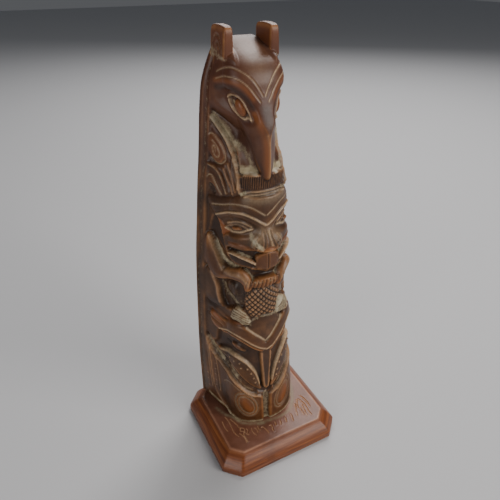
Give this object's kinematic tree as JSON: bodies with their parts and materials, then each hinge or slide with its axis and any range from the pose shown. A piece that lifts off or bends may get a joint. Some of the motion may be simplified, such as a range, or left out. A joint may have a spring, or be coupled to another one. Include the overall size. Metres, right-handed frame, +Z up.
{
  "type": "miniature totem pole",
  "caption": "Small carved totem pole ornament: three stacked animal figures on a tapering flat-backed column with two ears, on a flared plinth.",
  "frame": {"origin": "centre of the plinth's underside, on the surface it stands on", "axes": "+Z up along the pole; the carved front faces -Y and the plain flat back faces +Y; +X is the viewer's right"},
  "size_m": [0.0684, 0.0606, 0.2025],
  "materials": {
    "carving": "semi-gloss dark brown wood-look casting, edges worn to orange brown, pale dirt in the recesses",
    "plinth": "semi-gloss red brown wood-look casting, streaked orange sides and worn bright edges"
  },
  "bodies": {
    "root": {"pole": "carving", "base": "plinth"}
  },
  "joints": []
}
